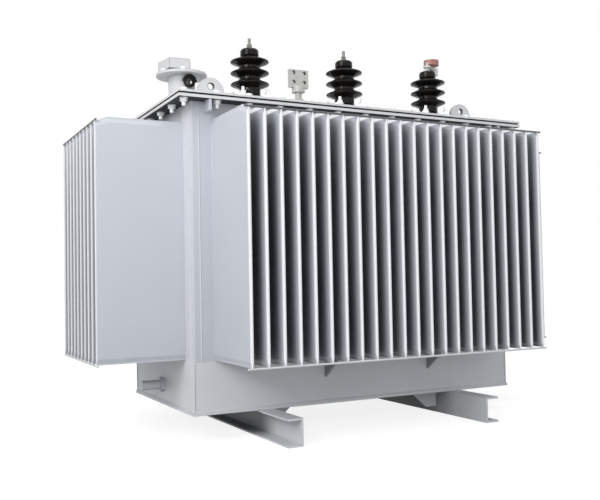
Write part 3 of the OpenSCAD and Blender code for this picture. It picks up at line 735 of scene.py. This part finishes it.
# Nodes whose finish differs from that of their slot
NODE_MATERIALS = {
    "fins_front": "front_fin_enamel", "fins_back": "front_fin_enamel",
    "fins_left": "side_fin_enamel", "fins_right": "side_fin_enamel",
    "oil_gauge_pipe": "fitting_enamel", "oil_gauge_flange": "fitting_enamel",
    "flange_front": "rim_enamel", "flange_back": "rim_enamel",
    "flange_left": "rim_enamel", "flange_right": "rim_enamel", "cover_plate": "rim_enamel",
    "wall_sheets": "margin_enamel", "corner_posts": "margin_enamel",
    "floor_plate": "plate_enamel", "fin_brackets": "bracket_enamel",
    "base_channels": "channel_enamel", "drain_pipe": "drain_enamel",
    "relief_cap": "cap_enamel", "fin_rods": "rod_enamel", "line_clamp": "jaw_surface",
    "lifting_lugs": "lug_enamel",
    "lv_palm_left": "palm_metal", "lv_palm_middle": "palm_metal", "lv_palm_right": "palm_metal",
}


class XFMR_OT_finishes(bpy.types.Operator):
    """Makes the materials and puts them on the CAD nodes"""
    bl_idname = "transformer.finishes"
    bl_label = "Finishes"

    def execute(self, context):
        for make_group in (enamel_group, fold_group, edge_group, rim_group, metal_group):
            make_group()
        self.make_enamels(context.scene.transformer_finish)
        self.make_others(context.scene.transformer_finish)
        for entry in frame["record"]["subparts"]:
            node = frame["nodes"][entry["node"]]
            name = NODE_MATERIALS.get(entry["node"], SLOT_MATERIALS[entry["material_slot"]])
            node.data.materials.clear()
            node.data.materials.append(bpy.data.materials[name])
        return {"FINISHED"}

    def make_enamels(self, tones):
        eye = MOUNTS["lug_eye_front_right"]
        eye_shade = shaded_holes(1.15e-3 * eye["dims"]["r_mm"], eye["pos_m"][2], eye["pos_m"][0])
        # Painted shade: the brackets under the fins get a darker copy of the lower enamel
        shaded_bracket = tuple(0.45 * part for part in tones.lower)
        enamel("tank_enamel", tones.tank, TANK_COAT)
        enamel("margin_enamel", tones.tank, TANK_COAT, touch=lit_ends)
        fin_enamel("front_fin_enamel", tones, long_side=True, highlight=0.9)
        fin_enamel("side_fin_enamel", tones, long_side=False, highlight=0.6)
        enamel("rim_enamel", tones.rim, FITTING_COAT, under_shade=0.97, lines=0.45, width=0.0012,
               gloss=0.08)
        enamel("fitting_enamel", tones.fitting, FITTING_COAT, lines=0.65, width=0.0024)
        enamel("cap_enamel", tones.fitting, FITTING_COAT, under_shade=0.9, lines=0.9, width=0.0045)
        enamel("jaw_surface", JAW_PAINT, FITTING_COAT, under_shade=0.3, lines=0.85, width=0.0035)
        enamel("lug_enamel", tones.fitting, FITTING_COAT, under_shade=0.5, lines=0.5, width=0.0018,
               touch=eye_shade)
        enamel("rod_enamel", tones.fitting, FITTING_COAT, touch=shade_on_upper_rods)
        # Paler enamel on the weld beads of the corner posts: painted highlight
        enamel("seam_enamel", tones.fitting, FITTING_COAT)
        enamel("lower_enamel", tones.lower, LOWER_COAT)
        enamel("bracket_enamel", shaded_bracket, LOWER_COAT)
        enamel("plate_enamel", tones.lower, LOWER_COAT, under_shade=0.9, lines=0.7)
        enamel("channel_enamel", tones.lower, LOWER_COAT, under_shade=0.5, lines=0.5,
               touch=shade_under_tank)
        enamel("drain_enamel", tones.lower, LOWER_COAT, under_shade=0.6, lines=0.9, width=0.003)

    def make_others(self, tones):
        palm = MOUNTS["palm_bolts_right"]
        sizes = palm["dims"]
        palm_shade = shaded_holes(1.2e-3 * sizes["hole_r_mm"], palm["pos_m"][2],
                              sizes["spacing_x_mm"] / 2000, sizes["spacing_y_mm"] / 2000,
                              period=palm["pos_m"][0])
        rubber("black_rubber", tones.rubber, roughness=0.6, gloss=0.1)
        rubber("black_ring", tones.rubber, roughness=0.25, gloss=0.2)
        rubber("window_glass", tones.rubber, roughness=0.03, gloss=0.6)
        glaze("dark_glaze", tones.glaze)
        metal("stud_metal", tones.brass, BRASS_STAIN, amount=0.5, roughness=0.35, metallic=0.8,
              thread=95.0)
        metal("satin_copper", tones.copper, COPPER_STAIN, amount=0.4, roughness=0.45, metallic=0.25)
        metal("tinned_surface", tones.tin, TIN_STAIN, amount=0.35, roughness=0.45, metallic=0.15)
        metal("palm_metal", tones.tin, TIN_STAIN, amount=0.35, roughness=0.45, metallic=0.15,
              touch=palm_shade)
        metal("zinc_surface", tones.zinc, ZINC_STAIN, amount=0.25, roughness=0.40, metallic=0.10)


# Fasteners, fittings and welds

def rim_places(settings):
    """Centres of the rim bolts, evenly spaced on each side between the corner bolts."""
    half = Vector((COVER_HIGH.x - settings.rim_inset, COVER_HIGH.y - settings.rim_inset))
    places = []
    for axis, length in ((0, 2 * half.x), (1, 2 * half.y)):
        count = max(1, round(length / settings.rim_pitch))
        for step in range(axis, count):
            run = -length / 2 + length * step / count
            for side in (-1, 1):
                places.append((run, side * half.y) if axis == 0 else (side * half.x, run))
    places += [(half.x, half.y), (half.x, -half.y)]
    return places


class XFMR_OT_rim_bolts(bpy.types.Operator):
    """Bolts through cover, gasket and flange, with washers, and nuts below the flange"""
    bl_idname = "transformer.rim_bolts"
    bl_label = "Rim bolts"

    def execute(self, context):
        settings = context.scene.transformer_fasteners
        r = settings.rim_radius
        places = rim_places(settings)
        head = fastener("rim_bolt_heads", washer_r=2.1 * r, washer_thick=0.0018, nut_r=1.85 * r,
                        nut_height=0.0072)
        heads = repeated(head, "rim_bolt_heads", [at(x, y, TOP_Z) for x, y in places])
        finished(heads, "zinc_surface")
        below = fastener("rim_nuts", washer_r=2.1 * r, washer_thick=0.002, nut_r=1.85 * r,
                         nut_height=0.010, stud=(r, 0.008, 0.024))
        nuts = repeated(below, "rim_nuts", [at(x, y, UNDER_Z, 0.3, math.pi) for x, y in places])
        finished(nuts, "zinc_surface")
        return {"FINISHED"}


def claw_places():
    """Tops of the four claws of each bushing, scaled as the bushing is."""
    turns = [math.radians(45 + 90 * quarter) for quarter in range(4)]
    bushings = [(f"{row}_bushing_{side}", foot_r, 1.0)
                for row, foot_r in (("hv", HV_FOOT_R), ("lv", LV_FOOT_R))
                for side in ("left", "middle", "right")]
    bushings.append(("neutral_bushing", LV_FOOT_R, NEUTRAL_SCALE))
    places = []
    for name, foot_r, scale in bushings:
        low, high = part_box(name)
        x, y = (low.x + high.x) / 2, (low.y + high.y) / 2
        places += [place @ Matrix.Scale(scale, 4) for place in ring(
            x, y, TOP_Z + CLAW_HEIGHT * scale, (foot_r + CLAW_STUD_OUT) * scale, turns)]
    return places


class XFMR_OT_claw_studs(bpy.types.Operator):
    """Studs, washers and nuts that hold the bushing claws down"""
    bl_idname = "transformer.claw_studs"
    bl_label = "Claw studs"

    def execute(self, context):
        r = context.scene.transformer_fasteners.claw_radius
        model = fastener("claw_studs", washer_r=2.0 * r, washer_thick=0.0016, nut_r=1.8 * r,
                         nut_height=0.008, stud=(r, 0.0, 0.022))
        finished(repeated(model, "claw_studs", claw_places()), "zinc_surface")
        return {"FINISHED"}


class XFMR_OT_gauge_fittings(bpy.types.Operator):
    """Bolts of the foot and top flange of the oil gauge, and the glass of its window with a pale
    dot on it as a painted highlight
    """
    bl_idname = "transformer.gauge_fittings"
    bl_label = "Gauge fittings"

    def execute(self, context):
        count = context.scene.transformer_fasteners.foot_bolts
        low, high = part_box("oil_gauge_pipe")
        x, y = (low.x + high.x) / 2, (low.y + high.y) / 2
        foot_bolt = fastener("gauge_foot_bolts", washer_r=0.0085, washer_thick=0.0015,
                             nut_r=0.0075, nut_height=0.006, stud=(0.004, 0.004, 0.014))
        turns = [2 * math.pi * (i + 0.5) / count for i in range(count)]
        places = ring(x, y, TOP_Z + GAUGE_FOOT_THICK, (high.x - low.x) / 2 - GAUGE_FOOT_INSET,
                      turns)
        finished(repeated(foot_bolt, "gauge_foot_bolts", places), "zinc_surface")

        low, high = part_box("oil_gauge_flange")
        top_bolt = fastener("gauge_flange_bolts", washer_r=0.009, washer_thick=0.0015,
                            nut_r=0.008, nut_height=0.007)
        turns = [math.radians(15 + 60 * i) for i in range(6)]
        places = ring(x, y, high.z, (high.x - low.x) / 2 - GAUGE_TOP_INSET, turns)
        finished(repeated(top_bolt, "gauge_flange_bolts", places), "zinc_surface")

        seat = at(x + WINDOW_SEAT * math.sin(WINDOW_TURN), y - WINDOW_SEAT * math.cos(WINDOW_TURN),
                  TOP_Z + WINDOW_HEIGHT, WINDOW_TURN, math.pi / 2)
        glass = turned("window_glass", [(32, [(0.0138, 0), (0.0138, 0.002), (0.011, 0.0034),
                                              (0.006, 0.0042)])])
        glass.data.transform(seat)
        finished(glass, "window_glass", smooth=60)
        # Painted highlight: a small pale dot set on the window glass
        dot = turned("window_float", [(16, [(0.0042, 0), (0.0042, 0.0006), (0.003, 0.0014)])])
        dot.data.transform(seat @ Matrix.Translation((0.0048, -0.0022, 0.0034))
                           @ Matrix.Diagonal((0.8, 1.25, 1.0, 1.0)))
        finished(dot, "zinc_surface", smooth=60)
        return {"FINISHED"}


def spot_places():
    """Places where the rods are welded to the fin tips, below the fins and on their corners."""
    inset = 0.0041
    places = []
    for name in ("fins_front", "fins_back", "fins_left", "fins_right"):
        low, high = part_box(name)
        axis = 0 if name in ("fins_front", "fins_back") else 1
        first, last = low[axis] + FIN_THICK / 2, high[axis] - FIN_THICK / 2
        count = round((last - first) / FIN_PITCH) + 1
        if name in ("fins_front", "fins_left"):
            edge = low[1 - axis] + inset
        else:
            edge = high[1 - axis] - inset
        for i in range(count):
            run = first + (last - first) * i / (count - 1)
            for z in (low.z - 0.0005, high.z - 0.0145):
                places.append(at(run, edge, z) if axis == 0 else at(edge, run, z))
    return places


class XFMR_OT_weld_beads(bpy.types.Operator):
    """Weld beads of the box, the corner angles and the fin rods"""
    bl_idname = "transformer.weld_beads"
    bl_label = "Weld beads"

    def execute(self, context):
        x, y = POST_HIGH.x, POST_HIGH.y
        foot, low, high = FLOOR_HIGH.z, POST_LOW.z, POST_HIGH.z
        foot_r, corner_r, post_r = 0.0035, 0.003, 0.0022
        beads = []
        for side in (-1, 1):
            beads.append(bead((-x, side * y, foot), (x, side * y, foot), foot_r))
            beads.append(bead((side * x, -y, foot), (side * x, y, foot), foot_r))
            for end in (-1, 1):
                beads.append(bead((side * x, end * y, foot), (side * x, end * y, low), corner_r))
        finished(joined("box_weld_beads", beads), "lower_enamel", smooth=60)
        beads = []
        for side in (-1, 1):
            for end in (-1, 1):
                for px, py in ((x - POST_LEG, y), (x, y - POST_LEG)):
                    beads.append(bead((side * px, end * py, low), (side * px, end * py, high),
                                      post_r))
        finished(joined("post_weld_beads", beads), "seam_enamel", smooth=60)
        spot = turned("rod_weld_spots", [(8, [(0.0020, -0.0032), (0.0036, -0.0014), (0.0040, 0.0),
                                              (0.0036, 0.0014), (0.0020, 0.0032)])])
        spots = repeated(spot, "rod_weld_spots", spot_places())
        finished(spots, "tank_enamel", smooth=60)
        return {"FINISHED"}


# Studio

# Each lamp's setting, size (one for a disk, two for a rectangle), place, target and colour
LAMPS = (
    ("key", (2.2,), (-3.4, -1.9, 2.9), (0, 0, 0.6), (1.0, 0.99, 0.97)),
    ("top", (3.2,), (0.6, -0.6, 4.6), (0, 0, 0.5), (0.98, 0.99, 1.0)),
    ("fill", (2.6,), (-0.6, -4.6, 0.8), (0, 0, 0.4), (1.0, 1.0, 1.0)),
    ("spark", (1.2, 0.35), (-3.0, -2.55, 1.5), (-0.1, -0.2, 1.15), (1.0, 1.0, 1.0)),
)


def camera_matrix(stage):
    """Place and turn of the camera from its eye, yaw, pitch and roll."""
    forward = Vector((math.sin(stage.yaw) * math.cos(stage.pitch),
                      math.cos(stage.yaw) * math.cos(stage.pitch), math.sin(stage.pitch)))
    right = forward.cross(Vector((0, 0, 1))).normalized()
    up = right.cross(forward)
    tilted_right = right * math.cos(stage.roll) + up * math.sin(stage.roll)
    tilted_up = up * math.cos(stage.roll) - right * math.sin(stage.roll)
    turn = Matrix((tilted_right, tilted_up, -forward)).transposed().to_4x4()
    return Matrix.Translation(stage.eye) @ turn


def add_lamp(name, power, size, place, target, colour):
    data = bpy.data.lights.new(name, "AREA")
    data.energy = power
    data.shape = "RECTANGLE" if len(size) == 2 else "DISK"
    data.size = size[0]
    if len(size) == 2:
        data.size_y = size[1]
    data.color = colour
    lamp = bpy.data.objects.new(name, data)
    bpy.context.collection.objects.link(lamp)
    lamp.location = place
    lamp.rotation_euler = (Vector(target) - Vector(place)).to_track_quat("-Z", "Y").to_euler()


def seen_directly(tree):
    """1 where a ray comes from the camera, or is a mirror or glass ray, and 0 otherwise."""
    path = tree.nodes.new("ShaderNodeLightPath")
    both = maths(tree, "MAXIMUM", path.outputs["Is Camera Ray"], path.outputs["Is Glossy Ray"])
    return maths(tree, "MAXIMUM", both, path.outputs["Is Transmission Ray"])


def split_by_ray(tree, output_type, lighting, looks):
    """Uses one shader for the light that falls on the object, and one for what is seen."""
    mix = tree.nodes.new("ShaderNodeMixShader")
    out = tree.nodes.new(output_type)
    link_all(tree, [(seen_directly(tree), mix.inputs["Fac"]), (lighting, mix.inputs[1]),
                    (looks, mix.inputs[2]), (mix.outputs["Shader"], out.inputs["Surface"])])


def plain_shader(tree, kind, output, colour, strength=None):
    """A background, diffuse or emission shader of one colour."""
    node = tree.nodes.new(kind)
    node.inputs["Color"].default_value = (*colour, 1)
    if strength is not None:
        node.inputs["Strength"].default_value = strength
    return node.outputs[output]


class XFMR_OT_stage(bpy.types.Operator):
    """Camera, lamps, plain pale floor and white surroundings"""
    bl_idname = "transformer.stage"
    bl_label = "Studio"

    def execute(self, context):
        stage = context.scene.transformer_stage
        self.place_camera(context, stage)
        for name, *rest in LAMPS:
            add_lamp(f"{name}_lamp", getattr(stage, name), *rest)
        self.make_world(context, stage)
        self.make_floor(context, stage)
        context.scene.view_settings.view_transform = "Standard"
        return {"FINISHED"}

    def place_camera(self, context, stage):
        data = bpy.data.cameras.new("photo_camera")
        data.sensor_width = 36.0
        data.sensor_fit = "HORIZONTAL"
        data.lens = stage.lens
        data.clip_end = 60.0
        camera = bpy.data.objects.new("photo_camera", data)
        camera.matrix_world = camera_matrix(stage)
        context.collection.objects.link(camera)
        context.scene.camera = camera

    def make_world(self, context, stage):
        world = bpy.data.worlds.new("studio_world")
        context.scene.world = world
        tree = blank_tree(world)
        soft = plain_shader(tree, "ShaderNodeBackground", "Background", (0.94, 0.97, 1.0),
                            stage.sky)
        white = plain_shader(tree, "ShaderNodeBackground", "Background", (1, 1, 1), 1.0)
        split_by_ray(tree, "ShaderNodeOutputWorld", soft, white)

    def make_floor(self, context, stage):
        deselect()
        bpy.ops.mesh.primitive_plane_add(size=30.0, location=(0, 0, -0.0005))
        floor = context.object
        floor.name = floor.data.name = "studio_floor"
        bpy.ops.object.transform_apply(location=True, rotation=True, scale=True)
        material = bpy.data.materials.new("floor_surface")
        tree = blank_tree(material)
        dim = plain_shader(tree, "ShaderNodeBsdfDiffuse", "BSDF", (stage.floor,) * 3)
        pale = plain_shader(tree, "ShaderNodeBsdfDiffuse", "BSDF", (0.30, 0.30, 0.30))
        glow = plain_shader(tree, "ShaderNodeEmission", "Emission", (1, 1, 1), 0.85)
        lit = tree.nodes.new("ShaderNodeAddShader")
        link_all(tree, [(pale, lit.inputs[0]), (glow, lit.inputs[1])])
        split_by_ray(tree, "ShaderNodeOutputMaterial", dim, lit.outputs["Shader"])
        floor.data.materials.append(material)


# Panel and run

class XFMR_PT_panel(bpy.types.Panel):
    """Sizes, finishes and steps of the transformer"""
    bl_idname = "XFMR_PT_panel"
    bl_label = "Transformer"
    bl_space_type = "VIEW_3D"
    bl_region_type = "UI"
    bl_category = "Transformer"

    def draw(self, context):
        for operator in OPERATORS:
            self.layout.operator(operator.bl_idname)
        for group in (context.scene.transformer_finish, context.scene.transformer_fasteners,
                      context.scene.transformer_stage):
            box = self.layout.box()
            for name in type(group).__annotations__:
                box.prop(group, name)


OPERATORS = (XFMR_OT_stage, XFMR_OT_finishes, XFMR_OT_rim_bolts, XFMR_OT_claw_studs,
             XFMR_OT_gauge_fittings, XFMR_OT_weld_beads)
CLASSES = (FinishSettings, FastenerSettings, StageSettings) + OPERATORS + (XFMR_PT_panel,)


def register():
    for cls in CLASSES:
        bpy.utils.register_class(cls)
    bpy.types.Scene.transformer_finish = PointerProperty(type=FinishSettings)
    bpy.types.Scene.transformer_fasteners = PointerProperty(type=FastenerSettings)
    bpy.types.Scene.transformer_stage = PointerProperty(type=StageSettings)


def unregister():
    del bpy.types.Scene.transformer_finish
    del bpy.types.Scene.transformer_fasteners
    del bpy.types.Scene.transformer_stage
    for cls in reversed(CLASSES):
        bpy.utils.unregister_class(cls)


def main():
    register()
    bpy.ops.transformer.stage()
    bpy.ops.transformer.finishes()
    bpy.ops.transformer.rim_bolts()
    bpy.ops.transformer.claw_studs()
    bpy.ops.transformer.gauge_fittings()
    bpy.ops.transformer.weld_beads()


if __name__ == "__main__":
    main()
